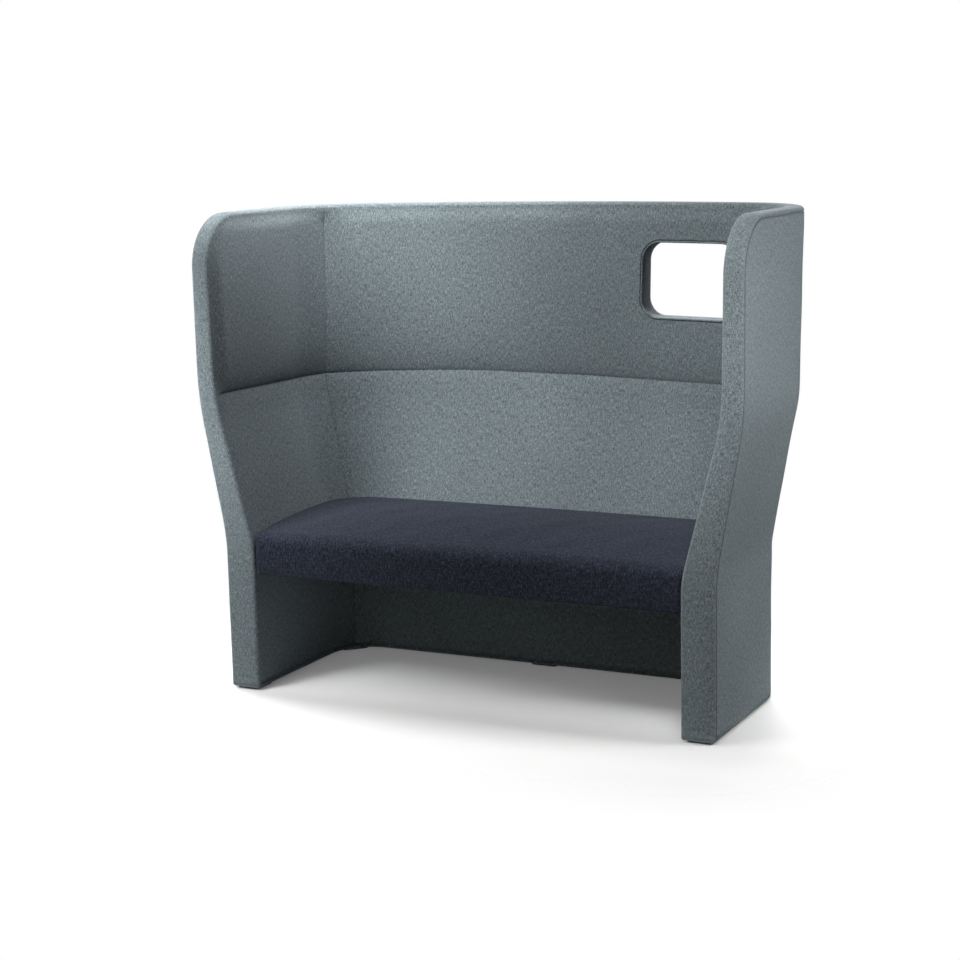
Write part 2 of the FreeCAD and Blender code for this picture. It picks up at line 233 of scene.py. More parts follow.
def ramp(z, at, half):
    """Rises from nothing below the height to a unit slope above it, with a round bend."""
    t = np.clip(z - at + half, 0.0, 2.0 * half)
    return t * t / (4.0 * half) + np.maximum(z - at - half, 0.0)


def plan_at(lev, grow, kind, side, val):
    """Plan points. val: y on a wing, share of the bend in a corner, share of the half width on the back."""
    angle = np.where(kind == CORNER, val, 0.0) * lev["turn"]
    share = np.where(kind == BACK, val, 0.0)
    corner = lev["corner"] + grow
    back_x = (lev["run"] + corner * math.cos(lev["turn"])) * share
    back_y = lev["centre"] + np.sqrt((lev["radius"] + grow) ** 2 - back_x ** 2)
    x = np.where(kind == BACK, back_x, side * (lev["run"] + corner * np.cos(angle)))
    y = np.where(kind == WING, val, lev["corner_y"] + corner * np.sin(angle))
    y = np.where(kind == BACK, back_y, y)
    return np.stack([x, y], -1)


def leaning(grows, z, knee, knee_half, crease_half, kind, side, val):
    """Plan points at any height: upright up to the knee, leaning out to the crease, and less above it."""
    low, mid, top = (plan_at(lev, g, kind, side, val) for lev, g in zip(LEVELS, grows))
    first = (mid - low) / (CREASE - knee)
    second = (top - mid) / (TOP - CREASE)
    bend_knee = ramp(z, knee, knee_half)[..., None]
    bend_crease = ramp(z, CREASE, crease_half)[..., None]
    return low + first * bend_knee + (second - first) * bend_crease


def place(kind, side, val, z, depth=0.0, crisp=1.0, share=None):
    """Points in the wall. depth in mm from the inside face (share: part of the thickness instead)."""
    kind, side, val, z, crisp = np.broadcast_arrays(kind, side, val, z, crisp)
    val = val.astype(float)

    def face(grows, knee, sharp_bends, soft_bends):
        sharp = leaning(grows, z, knee, *sharp_bends, kind, side, val)
        soft = leaning(grows, z, knee, *soft_bends, kind, side, val)
        return soft + (sharp - soft) * crisp[..., None]

    inner = face((0.0, 0.0, 0.0), KNEE_IN, BEND_IN_SHARP, BEND_IN_SOFT)
    outer = face([lev["wall"] for lev in LEVELS], KNEE_OUT, BEND_OUT_SHARP, BEND_OUT_SOFT)
    through = outer - inner
    thick = np.linalg.norm(through, axis=-1)
    if share is None:
        share = depth / thick
    xy = inner + through * np.broadcast_to(share, thick.shape)[..., None]
    points = np.concatenate([xy, z[..., None].astype(float)], -1)
    normal = np.concatenate([through / thick[..., None], np.zeros(thick.shape + (1,))], -1)
    return points, normal, thick


def back_y(x, z, share):
    """Where the back lies at a given x and z, from its inside face (share 0) to its outside face (1)."""
    ys = []
    for face in (0.0, 1.0):
        end_x = place(BACK, 1.0, 1.0, z, share=face)[0][..., 0]
        ys.append(place(BACK, 1.0, x / end_x, z, share=face)[0][..., 1])
    return ys[0] + (ys[1] - ys[0]) * share


class Sheet:
    """Points, faces, cloth coordinates and painted seam shade of one sewn piece."""

    def __init__(self):
        self.points = []
        self.uv = []
        self.seam = []
        self.faces = []
        self.count = 0

    def add(self, points, uv, seam):
        points = np.asarray(points, float).reshape(-1, 3)
        n = len(points)
        self.points.append(points)
        self.uv.append(np.asarray(uv, float).reshape(-1, 2))
        self.seam.append(np.broadcast_to(np.asarray(seam, float).reshape(-1), (n,)))
        ids = np.arange(self.count, self.count + n)
        self.count += n
        return ids

    def strip(self, a, b, closed=False):
        n = len(a)
        last = n if closed else n - 1
        for i in range(last):
            j = (i + 1) % n
            self.faces.append((int(a[i]), int(a[j]), int(b[j]), int(b[i])))

    def grid(self, ids, hole=None):
        rows, cols = ids.shape
        for r in range(rows - 1):
            for c in range(cols - 1):
                if hole and hole[0] <= r < hole[1] and hole[2] <= c < hole[3]:
                    continue
                square = (ids[r, c], ids[r, c + 1], ids[r + 1, c + 1], ids[r + 1, c])
                self.faces.append(tuple(int(i) for i in square))

    def build(self, name, toward):
        """Mesh object, turned so that one sample face looks toward the given direction."""
        points = np.concatenate(self.points)
        uv = np.concatenate(self.uv)
        seam = np.concatenate(self.seam)
        faces = self.faces
        sample = faces[len(faces) // 3]
        p = [points[i] for i in sample]
        normal = np.cross(p[2] - p[0], p[3] - p[1])
        middle = sum(p) / 4.0
        if np.dot(normal, toward(middle)) < 0:
            faces = [tuple(reversed(f)) for f in faces]
        mesh = bpy.data.meshes.new(name)
        mesh.from_pydata((points * MM).tolist(), [], faces)
        layer = mesh.uv_layers.new(name="UVMap")
        loops = np.empty(len(mesh.loops), dtype=np.int32)
        mesh.loops.foreach_get("vertex_index", loops)
        layer.data.foreach_set("uv", (uv[loops] * MM).astype(np.float32).ravel())
        # Painted shade in seams and creases, kept on each point
        mark = mesh.attributes.new("seam", "FLOAT", "POINT")
        mark.data.foreach_set("value", seam.astype(np.float32))
        mesh.polygons.foreach_set("use_smooth", np.ones(len(mesh.polygons), dtype=bool))
        mesh.update()
        obj = bpy.data.objects.new(name, mesh)
        scene.collection.objects.link(obj)
        return obj


def waves(seed, count, shortest, longest):
    """Slow, seeded unevenness of hand-stretched cloth over foam."""
    rng = np.random.default_rng(seed)
    lengths = rng.uniform(shortest, longest, count)
    angles = rng.uniform(0.0, 2.0 * math.pi, count)
    starts = rng.uniform(0.0, 2.0 * math.pi, count)

    def height(u, v):
        total = 0.0
        for wave, angle, start in zip(lengths, angles, starts):
            along = u * math.cos(angle) + v * math.sin(angle)
            total = total + np.sin(2.0 * math.pi * along / wave + start)
        return total / math.sqrt(count)

    return height


def pad_roll(z):
    """How far the padding above the crease stands in front of the plan."""
    up = np.maximum(z - CREASE, 0.0)
    bulge = PAD_BULGE * (1.0 - np.clip(1.0 - up / PAD_BULGE_HEIGHT, 0.0, 1.0) ** 2)
    rise = bulge + PAD_LIP * (1.0 - np.exp(-up / PAD_LIP_HEIGHT))
    return rise * (1.0 - PAD_THINNING * smooth((up - PAD_THIN_START) / PAD_THIN_OVER))


def rows_for(inset, dense):
    """Heights of a cover's mesh rows, and their angles on the rounded upper front corner."""
    head = TOP - HEAD_RADIUS
    below_knee = 395.0
    above_knee = 408.0
    below_crease = 785.0
    parts = [np.linspace(BASE + ROLL, below_knee, 24), np.linspace(above_knee, below_crease, 28)]
    if dense:
        near = np.array([1.0, 2.0, 3.2, 4.8, 6.5, 9.0, 12.0, 16.0, 22.0, 30.0, 40.0])
        above_crease = 888.0
        parts += [CREASE - near[::-1], [CREASE], CREASE + near, np.linspace(above_crease, head, 24)]
    else:
        next_row = 798.0
        parts += [np.linspace(next_row, head, 30)]
    straight = np.concatenate(parts)
    angle = np.radians(np.linspace(0.0, 90.0, 17)[1:])
    z = np.concatenate([straight, head + (HEAD_RADIUS - inset) * np.sin(angle)])
    theta = np.concatenate([np.zeros(len(straight)), angle])
    return z, theta


# Shares of the wing's length and of the corner's bend where the mesh columns lie
WING_STEPS = np.concatenate([[0.0, 0.012, 0.026, 0.044, 0.066, 0.094, 0.13], np.linspace(0.165, 1.0, 26)])
SEAM_STEPS = np.array([0.0, 0.004, 0.009, 0.016, 0.026, 0.04, 0.06, 0.09, 0.13])
HALF_CORNER = np.concatenate([np.linspace(0.0, 0.34, 9)[:-1], 0.5 - SEAM_STEPS[::-1]])


def columns(kind, side, values):
    return [(kind, side, float(v)) for v in values]


def length_along(points):
    return np.concatenate([[0.0], np.cumsum(np.linalg.norm(np.diff(points, axis=0), axis=1))])


def edge_front(inset, theta):
    return FRONT + HEAD_RADIUS - (HEAD_RADIUS - inset) * np.cos(theta)


def cloth_along(kind, side, val, zs, points, corner_start, inside):
    """Length along the cloth at each point, and the length of a corner's bend at each height."""
    turns = [LEVELS[0]["turn"]] + [lev["turn"] for lev in LEVELS]
    turn = np.interp(zs, [BASE, KNEE_IN, CREASE, TOP], turns)
    radius = np.interp(zs, [KNEE_IN, CREASE], [LEVELS[0]["corner"], LEVELS[1]["corner"]])
    radius = radius + (0.0 if inside else OUTER_CORNER_GROWTH)
    bend = (turn * radius)[:, None]
    if np.any(kind == BACK):
        end_x = place(BACK, 1.0, 1.0, zs, share=0.0 if inside else 1.0)[0][..., 0][:, None]
        return np.where(kind == BACK, points[..., 0], side * (end_x + (1.0 - val) * bend)), bend
    return np.where(kind == WING, -val, -corner_start[:, None] - val * bend), bend


def crease_climb(at):
    """How far the crease rises above its level along the wings, round the corners and along the back."""
    wing = WING_CLIMB * (1.0 - at.wing_share)
    corner = np.where(at.side < 0.0, LEFT_CORNER_CLIMB, RIGHT_CORNER_CLIMB) * at.val
    hump = BACK_CLIMB + BACK_HUMP * bell(at.x - BACK_HUMP_X, BACK_HUMP_WIDTH)
    back = hump * (1.0 - BACK_CLIMB_LOSS * smooth((at.x - BACK_LOSS_X) / BACK_LOSS_OVER))
    return np.where(at.kind == BACK, back, np.where(at.kind == WING, wing, corner))


def inside_face(at):
    """Padding, crease and folded corner seams: how far points stand out and rise, and the painted shade in
    the crease and the corner seams.
    """
    up = at.z - CREASE
    edge = smooth(at.from_front / CREASE_FROM_EDGE)
    clear_of_seat = smooth((at.z - SEAT_CLEAR_Z) / SEAT_CLEAR_OVER)
    below = SWELL_BELOW * bell(up + SWELL_DROP, SWELL_WIDTH) * (up <= 0.0)
    groove = CREASE_GROOVE * bell(up, CREASE_GROOVE_WIDTH)
    padding = at.edge_fade * (pad_roll(at.z) + below)
    lift = padding + at.fade * SWAY_IN * at.sway * clear_of_seat - edge * groove
    seam_depth, seam_width = IN_SEAM_GROOVE
    fold_depth, fold_width = IN_CORNER_FOLD
    fold = seam_depth * bell(at.gap, seam_width) + fold_depth * np.exp(-at.gap / fold_width)
    lift = lift - at.fade * fold
    # Painted shade along the crease and down the corner seams
    mark, mark_width = IN_SEAM_PAINTED_SHADE
    seam = CREASE_PAINTED_SHADE * edge * bell(up, CREASE_PAINTED_SHADE_WIDTH)
    seam = np.maximum(seam, mark * bell(at.gap, mark_width))
    rise = crease_climb(at) * edge * bell(up, CLIMB_WIDTH)
    return lift, rise, seam


def outside_face(at):
    """Unevenness and grooved corner seams: how far points stand out, and the painted shade in the seams."""
    off_base = smooth((at.z - BASE - ROLL) / BASE_FADE)
    seam_depth, seam_width = OUT_SEAM_GROOVE
    dip_depth, dip_width = OUT_SEAM_DIP
    dip = seam_depth * bell(at.gap, seam_width) + dip_depth * bell(at.gap, dip_width)
    lift = at.fade * SWAY_OUT * at.sway * off_base - at.fade * off_base * dip
    # The second value is painted shade down the corner seams
    return lift, bell(at.gap, OUT_SEAM_PAINTED_SHADE_WIDTH)


def window_hole(points, zs):
    """Rows and columns of the mesh that are left out round the window."""
    xs = points[len(zs) // 2, :, 0]
    left = np.flatnonzero(xs <= WINDOW_X - WINDOW_W / 2.0 - WINDOW_MARGIN)
    right = np.flatnonzero(xs >= WINDOW_X + WINDOW_W / 2.0 + WINDOW_MARGIN_RIGHT)
    below = np.flatnonzero(zs <= WINDOW_Z - WINDOW_H / 2.0 - WINDOW_MARGIN)
    above = np.flatnonzero(zs >= WINDOW_Z + WINDOW_H / 2.0 + WINDOW_MARGIN)
    return int(below[-1]), int(above[0]), int(left[-1]), int(right[0])


def wall_cover(name, cols, inside, window, seed):
    """One sewn cover of the wall: its face, its rolled edge and its turn under the base."""
    inset = EDGE_IN if inside else EDGE_OUT + OUT_SEAM
    share = 0.0 if inside else 1.0
    zs, theta = rows_for(inset, inside)
    kind, side, val = (np.array(part) for part in zip(*cols))
    shape = (len(zs), len(cols))
    at = SimpleNamespace()
    at.kind = np.broadcast_to(kind, shape)
    at.side = np.broadcast_to(side, shape)
    at.z = np.broadcast_to(zs[:, None], shape)
    val = np.broadcast_to(val, shape)
    corner_start = place(CORNER, 1.0, 0.0, zs, share=share)[0][..., 1]
    front = edge_front(inset, theta)
    wing_length = (corner_start - front)[:, None]
    wing_y = front[:, None] + wing_length * val
    at.val = np.where(at.kind == WING, wing_y, val)
    at.from_front = np.where(at.kind == WING, wing_y - front[:, None], FAR)
    at.wing_share = at.from_front / np.maximum(wing_length, 1.0)
    crisp = smooth(at.from_front / (SOFT_REACH_IN if inside else SOFT_REACH_OUT))
    points, normal, _ = place(at.kind, at.side, at.val, at.z, crisp=crisp, share=share)
    at.x = points[..., 0]
    along, bend = cloth_along(at.kind, at.side, at.val, zs, points, corner_start, inside)
    uv = np.stack([along, at.z], -1)

    at.edge_fade = smooth(np.minimum(at.from_front, TOP - inset - at.z) / EDGE_FADE)
    at.fade = at.edge_fade
    if window:
        dx = np.maximum(np.abs(at.x - WINDOW_X) - WINDOW_W / 2.0, 0.0)
        dz = np.maximum(np.abs(at.z - WINDOW_Z) - WINDOW_H / 2.0, 0.0)
        at.fade = at.fade * smooth((np.hypot(dx, dz) - WINDOW_FLAT) / WINDOW_FADE)
    at.gap = np.where(at.kind == CORNER, np.abs(at.val - 0.5) * bend, FAR)
    uneven = waves(seed, SWAY_COUNT, SWAY_SHORTEST, SWAY_LONGEST)
    at.sway = uneven(along, at.z) * smooth(at.gap / SEAM_FADE)
    if inside:
        lift, rise, seam = inside_face(at)
        points = points - normal * lift[..., None]
        points[..., 2] += rise
    else:
        lift, seam = outside_face(at)
        points = points + normal * lift[..., None]

    sheet = Sheet()
    ids = sheet.add(points, uv, seam.reshape(-1)).reshape(shape)
    if window:
        hole = window_hole(points, zs)
        sheet.grid(ids, hole)
        window_ring(sheet, ids, points, hole, share)
    else:
        sheet.grid(ids)
    laid = roll_edges(sheet, ids, kind, side, at.val, zs, theta, uv, inside)
    foot(sheet, ids, kind, side, at.val[0], uv[0], laid, inside)

    def toward(p):
        away = p - np.array([0.0, ROOM_MIDDLE_Y, p[2]])
        return -away if inside else away

    return sheet.build(name, toward)


def roll_edges(sheet, ids, kind, side, val, zs, theta, uv, inside):
    """Carries a cover over its front edges and its top, and returns the rows laid."""
    n_rows, n_cols = ids.shape
    path = []
    if kind[0] == WING:
        path += [(r, 0, False) for r in range(n_rows - 1)]
    path += [(n_rows - 1, c, True) for c in range(n_cols)]
    if kind[-1] == WING:
        path += [(r, n_cols - 1, False) for r in range(n_rows - 2, -1, -1)]
    row, col, is_top = (np.array(part) for part in zip(*path))
    on_wing = kind[col] == WING
    angle = np.where(is_top, math.pi / 2.0, theta[row])
    head = TOP - HEAD_RADIUS

    def rim(inset, depth, from_outside):
        z = np.where(angle > 0.0, head + (HEAD_RADIUS - inset) * np.sin(angle), zs[row])
        v = np.where(on_wing & ~is_top, edge_front(inset, angle), val[row, col])
        thickness = place(kind[col], side[col], v, z, crisp=0.0)[2]
        deep = thickness - depth if from_outside else depth * np.ones_like(thickness)
        return place(kind[col], side[col], v, z, crisp=0.0, share=deep / thickness)[0], thickness

    past_edge = np.stack([np.cos(angle), np.sin(angle)], -1)
    edge_dir = np.where(on_wing[:, None], past_edge, np.array([0.0, 1.0]))
    previous = ids[row, col]
    run = 0.0
    laid = []
    for inset, depth, from_outside, step, mark in edge_profile(inside, rim(0.0, 0.0, False)[1]):
        run = run + step
        cloth = uv[row, col] + edge_dir * np.reshape(run, (-1, 1)) * np.ones((len(path), 1))
        new = sheet.add(rim(inset, depth, from_outside)[0], cloth, mark)
        sheet.strip(previous, new)
        laid.append((new, inset, depth, from_outside))
        previous = new
    return laid


def edge_profile(inside, thickness):
    """Steps of the rolled edge: inset, depth, whether from the outside face, cloth length, painted seam
    shade.
    """
    if not inside:
        return [
            # Into the seam groove on the outer side, with painted shade there
            (EDGE_OUT + 4.6, 0.1, True, 2.4, 0.25),
            (EDGE_OUT + 2.4, 1.4, True, 2.4, 0.8),
            (EDGE_OUT + 0.8, 5.2, True, 4.0, 1.0),
        ]
    steps = []
    for deg in (15, 30, 45, 60, 75, 90):
        a = math.radians(deg)
        inset = EDGE_IN * (1.0 - math.sin(a))
        steps.append((inset, EDGE_IN * (1.0 - math.cos(a)), False, EDGE_IN * EDGE_STEP, 0.0))
    flat = thickness - EDGE_IN - EDGE_OUT
    for t in np.linspace(0.0, 1.0, 7)[1:-1]:
        steps.append((-EDGE_SWELL * math.sin(math.pi * t), EDGE_IN + flat * t, False, flat / 6.0, 0.0))
    steps.append((0.0, EDGE_OUT, True, flat / 6.0, 0.0))
    for deg in (18, 36, 54, 70):
        a = math.radians(deg)
        steps.append((EDGE_OUT * (1.0 - math.cos(a)), EDGE_OUT * (1.0 - math.sin(a)), True, 4.0, 0.0))
    # Into the seam groove, with painted shade there
    steps.append((EDGE_OUT * 0.84, 0.6, True, 2.4, 0.25))
    steps.append((EDGE_OUT * 0.98, 1.6, True, 2.0, 0.8))
    steps.append((EDGE_OUT + 0.6, 5.0, True, 3.4, 1.0))
    return steps


def foot(sheet, ids, kind, side, val, uv, laid, inside):
    """Turns the lower edge of a cover, and of its rolled front edges, under the base."""
    last = ids.shape[1] - 1
    line = []
    if kind[0] == WING:
        for new, inset, depth, outside in reversed(laid):
            line.append((new[0], inset, np.ravel(depth)[0], outside, 0))
    for c in range(last + 1):
        line.append((ids[0, c], None, 0.0, not inside, c))
    if kind[-1] == WING:
        for new, inset, depth, outside in laid:
            line.append((new[-1], inset, np.ravel(depth)[-1], outside, last))
    previous = np.array([p[0] for p in line])
    turns = [math.radians(deg) for deg in (18.0, 36.0, 54.0, 72.0, 90.0)]
    steps = [(ROLL * (1.0 - math.cos(a)), BASE + ROLL * (1.0 - math.sin(a)), ROLL_STEP) for a in turns]
    for tuck, z, step in steps + [(TUCK_END, BASE, TUCK_END - ROLL)]:
        points = []
        cloth = []
        for _, inset, from_face, outside, c in line:
            on_edge = inset is not None
            v = FRONT + max(inset, 0.0) + tuck if on_edge else val[c]
            thick = place(kind[c], side[c], v, z)[2]
            depth = thick - from_face if outside else from_face
            depth = min(max(depth, tuck), thick - tuck)
            crisp = 0.0 if on_edge else 1.0
            points.append(place(kind[c], side[c], v, z, crisp=crisp, share=depth / thick)[0])
            cloth.append(uv[c] + np.array([0.0, -step]))
        new = sheet.add(points, cloth, 0.0)
        sheet.strip(previous, new)
        previous = new


def window_outline(quarter, t, grow):
    """Point on the window's outline: quarter 0 sill, 1 right, 2 head, 3 left; t runs along it."""
    half = (WINDOW_W / 2.0 + grow, WINDOW_H / 2.0 + grow)
    a, b = half if quarter % 2 == 0 else half[::-1]
    radius = WINDOW_R + grow
    bend = radius * math.pi / 4.0
    flat = 2.0 * (a - radius)
    p = t * (flat + 2.0 * bend)
    if p < bend:
        angle = 1.25 * math.pi + p / radius
        x, z = -a + radius + radius * math.cos(angle), -b + radius + radius * math.sin(angle)
    elif p <= bend + flat:
        x, z = -a + radius + p - bend, -b
    else:
        angle = 1.5 * math.pi + (p - bend - flat) / radius
        x, z = a - radius + radius * math.cos(angle), -b + radius + radius * math.sin(angle)
    for _ in range(quarter):
        x, z = -z, x
    return WINDOW_X + x, WINDOW_Z + z


def window_loop(stations, grow, depth, share):
    """Loop of points round the window, at a depth from the inside face (share 0) or the outside face (1)."""
    xz = np.array([window_outline(q, t, grow) for q, t in stations])
    y = back_y(xz[:, 0], xz[:, 1], share)
    y = y + (depth - pad_roll(xz[:, 1]) if share < 0.5 else -depth)
    return np.stack([xz[:, 0], y, xz[:, 1]], -1)


def window_ring(sheet, ids, points, hole, share):
    """Fits the cover round the window, down into the seam of the lining."""
    r0, r1, c0, c1 = hole
    ring = [(r0, c) for c in range(c0, c1)]
    ring += [(r, c1) for r in range(r0, r1)]
    ring += [(r1, c) for c in range(c1, c0, -1)]
    ring += [(r, c0) for r in range(r1, r0, -1)]
    quarter = [0] * (c1 - c0) + [1] * (r1 - r0) + [2] * (c1 - c0) + [3] * (r1 - r0)
    xz = np.array([points[r, c][[0, 2]] for r, c in ring])
    stations = []
    for q in range(4):
        members = [i for i, k in enumerate(quarter) if k == q]
        axis = 0 if q % 2 == 0 else 1
        start = xz[members[0], axis]
        stop = xz[(members[-1] + 1) % len(ring), axis]
        stations += [(q, (xz[i, axis] - start) / (stop - start)) for i in members]
    outer = np.array([points[r, c] for r, c in ring])
    base = window_loop(stations, WINDOW_RING, 0.0, share)
    previous = np.array([ids[r, c] for r, c in ring])
    rows = []
    for t in (0.35, 0.7):
        mixed = outer + (base - outer) * t
        mixed[:, 1] = back_y(mixed[:, 0], mixed[:, 2], share)
        if share < 0.5:
            mixed[:, 1] -= pad_roll(mixed[:, 2])
        rows.append((mixed, 0.0))
    # Distance out from the opening, depth below the face, painted seam shade
    into_seam = [(WINDOW_RING, 0.0, 0.0), (13.0, 0.0, 0.0), (10.0, 0.0, 0.0)]
    into_seam += [(8.2, 0.5, 0.3), (7.0, 1.8, 0.8), (6.2, 4.5, 1.0)]
    for grow, depth, mark in into_seam:
        rows.append((window_loop(stations, grow, depth, share), mark))
    for loop, mark in rows:
        new = sheet.add(loop, loop[:, [0, 2]], mark)
        sheet.strip(previous, new, closed=True)
        previous = new


def window_lining():
    """Cloth lining of the window: the piece, the length round it and its width through the wall."""
    stations = [(q, t) for q in range(4) for t in np.linspace(0.0, 1.0, 36)[:-1]]
    # Distance out from the opening, depth below the face, painted seam shade
    edge = [(6.2, 4.6, 1.0), (5.6, 1.6, 0.6), (4.8, -0.4, 0.0), (3.2, -1.2, 0.0), (1.6, -0.6, 0.0)]
    edge += [(0.6, 1.2, 0.0), (0.1, 3.2, 0.0), (0.0, REVEAL_EDGE, 0.0)]
    rows = [(window_loop(stations, g, d, 0.0), m) for g, d, m in edge]
    near = window_loop(stations, 0.0, REVEAL_EDGE, 0.0)
    far = window_loop(stations, 0.0, REVEAL_EDGE, 1.0)
    for t in (0.15, 0.3, 0.5, 0.7, 0.85):
        rows.append((near + (far - near) * t, 0.0))
    rows += [(window_loop(stations, g, d, 1.0), m) for g, d, m in reversed(edge)]
    length = length_along(near)
    sheet = Sheet()
    previous = None
    before = rows[0][0]
    width = 0.0
    for loop, mark in rows:
        width = width + float(np.mean(np.linalg.norm(loop - before, axis=1)))
        new = sheet.add(loop, np.stack([length, np.full(len(length), width)], -1), mark)
        if previous is not None:
            sheet.strip(previous, new, closed=True)
        previous = new
        before = loop
    piece = sheet.build("window_lining_cloth", lambda p: np.array([WINDOW_X, p[1], WINDOW_Z]) - p)
    return piece, float(length[-1]), width


def wall_half(z):
    """Half the clear width between the wings at the seat's front, less the seat's gap."""
    return float(place(WING, 1.0, FRONT, z)[0][0]) - SEAT_GAP


def rear_line(z, gap, corner_count, back_count):
    """Right half of the wall's inside face at one height, from the corner's start to the middle."""
    t = np.linspace(0.0, 1.0, corner_count)
    bend = place(CORNER, 1.0, t, z, -gap)[0]
    s = np.linspace(1.0, 0.0, back_count)[1:]
    back = place(BACK, 1.0, s, z, -gap)[0]
    return np.concatenate([bend, back])


def inside_plan(xy, lev, gap):
    """Draws points in until they clear the wall's inside face at one level."""
    x = np.minimum(np.abs(xy[:, 0]), lev["run"] + lev["corner"] - gap)
    y = np.minimum(xy[:, 1], lev["centre"] + np.sqrt((lev["radius"] - gap) ** 2 - x ** 2))
    dx = np.maximum(x - lev["run"], 0.0)
    dy = np.maximum(y - lev["corner_y"], 0.0)
    reach = np.hypot(dx, dy)
    pull = np.minimum(1.0, (lev["corner"] - gap) / np.maximum(reach, 1.0))
    pull = np.where((dx > 0.0) & (dy > 0.0), pull, 1.0)
    x = np.where(pull < 1.0, lev["run"] + dx * pull, x)
    y = np.where(pull < 1.0, lev["corner_y"] + dy * pull, y)
    return np.stack([np.sign(xy[:, 0]) * x, y], -1)


def turn_down(gap):
    """Drop of the rounded edge where the cushion meets the wall."""
    inward = np.maximum(SEAT_EDGE_ROUND - gap, 0.0)
    return SEAT_EDGE_ROUND - np.sqrt(np.maximum(SEAT_EDGE_ROUND ** 2 - inward ** 2, 0.0))


def seat_profile():
    """Front of the cushion from below: hem, upright face, rolled upper edge. Setback and height."""
    hem_top = SEAT_BOTTOM + SEAT_HEM
    profile = [(setback, SEAT_BOTTOM) for setback in SEAT_UNDER_TURN]
    for deg in (0, 30, 60, 90):
        a = math.radians(deg)
        profile.append((SEAT_HEM - SEAT_HEM * math.sin(a), SEAT_BOTTOM + SEAT_HEM - SEAT_HEM * math.cos(a)))
    for q in np.linspace(0.1, 1.0, 10):
        profile.append((-SEAT_FRONT_SWELL * math.sin(math.pi * q), hem_top + (SEAT_LIP - hem_top) * q))
    for deg in np.linspace(6.0, 84.0, 14):
        a = math.radians(deg)
        z = SEAT_LIP + (SEAT_SHOULDER - SEAT_LIP) * math.sin(a)
        profile.append((SEAT_ROUND * (1.0 - math.cos(a)), z))
    return profile


def front_rows(profile, xs, ripple):
    """Points and cloth coordinates of the cushion's front, and the cloth length up it."""
    half = wall_half(SEAT_EDGE_Z)
    rows = []
    cloth = []
    run = 0.0
    before = profile[0]
    for y, z in profile:
        half_here = wall_half(z)
        x = xs * (half_here / half)
        gap = half_here - np.abs(x)
        pull = turn_down(gap)
        bend = math.atan2(z - SEAT_LIP, max(SEAT_ROUND - y, 1e-6)) if z > SEAT_LIP else 0.0
        side_drop = SEAT_SIDE_DROP * smooth(1.0 - gap / SEAT_SIDE_REACH) * math.sin(bend) ** 2
        hem_lift = SEAT_HEM_LIFT * pull if z < SEAT_BOTTOM + SEAT_HEM_FLAT else 0.0
        yy = SEAT_FRONT + np.full_like(x, y) + pull * math.cos(bend) * (y < SEAT_ROUND)
        zz = np.full_like(x, z) - pull * math.sin(bend) - side_drop + hem_lift
        run += math.hypot(y - before[0], z - before[1])
        before = (y, z)
        push = FRONT_RIPPLE * ripple(x, z + y) * smooth(gap / FRONT_RIPPLE_FADE)
        push = push * (z > SEAT_BOTTOM + FRONT_RIPPLE_START)
        rows.append(np.stack([x, yy - push * math.cos(bend), zz + push * math.sin(bend)], -1))
        cloth.append(np.stack([x, np.full_like(x, run)], -1))
    return rows, cloth, run


def top_rows(start_y, xs, rear_y, ripple, run):
    """Points and cloth coordinates of the cushion's crowned top, from the rolled edge to the wall."""
    half = wall_half(SEAT_EDGE_Z)
    corners = [lev["corner"] for lev in LEVELS[:2]]
    corner = float(np.interp(SEAT_EDGE_Z, [KNEE_IN, CREASE], corners))
    corner_x = half - corner
    corner_y = float(place(CORNER, 1.0, 0.0, SEAT_EDGE_Z)[0][1])
    near_wall = [0.991, 0.995, 0.998, 1.0]
    steps = np.concatenate([np.linspace(0.0, 0.9, 36)[1:-1], np.linspace(0.9, 0.985, 7), near_wall])
    x = xs.copy()
    wall_gap = half - np.abs(x)
    rows = []
    cloth = []
    for step in steps:
        y = start_y + (rear_y - start_y) * step
        back_gap = rear_y - y
        past_x = np.maximum(np.abs(x) - corner_x, 0.0)
        round_gap = np.maximum(corner - np.hypot(past_x, np.maximum(y - corner_y, 0.0)), 0.0)
        in_corner = (np.abs(x) > corner_x) & (y > corner_y)
        gap = np.minimum(np.where(in_corner, round_gap, wall_gap), back_gap)
        q = (y - (SEAT_FRONT + SEAT_ROUND)) / SEAT_CROWN_REACH
        crown = SEAT_CROWN - (SEAT_CROWN - SEAT_SHOULDER) * np.clip(1.0 - q, 0.0, 2.0) ** 2 * (q < 1.0)
        crown = crown - SEAT_BACK_DROP * np.clip(q - 1.0, 0.0, 1.0) ** 2
        crown = crown - SEAT_SIDE_DROP * smooth(1.0 - gap / SEAT_SIDE_REACH)
        push = TOP_RIPPLE * ripple(x, y + TOP_RIPPLE_SHIFT) * smooth(gap / TOP_RIPPLE_FADE)
        push = push * smooth((y - start_y) / TOP_RIPPLE_START)
        rows.append(np.stack([x, y, crown - turn_down(gap) + push], -1))
        cloth.append(np.stack([x, run + y - start_y], -1))
    return rows, cloth


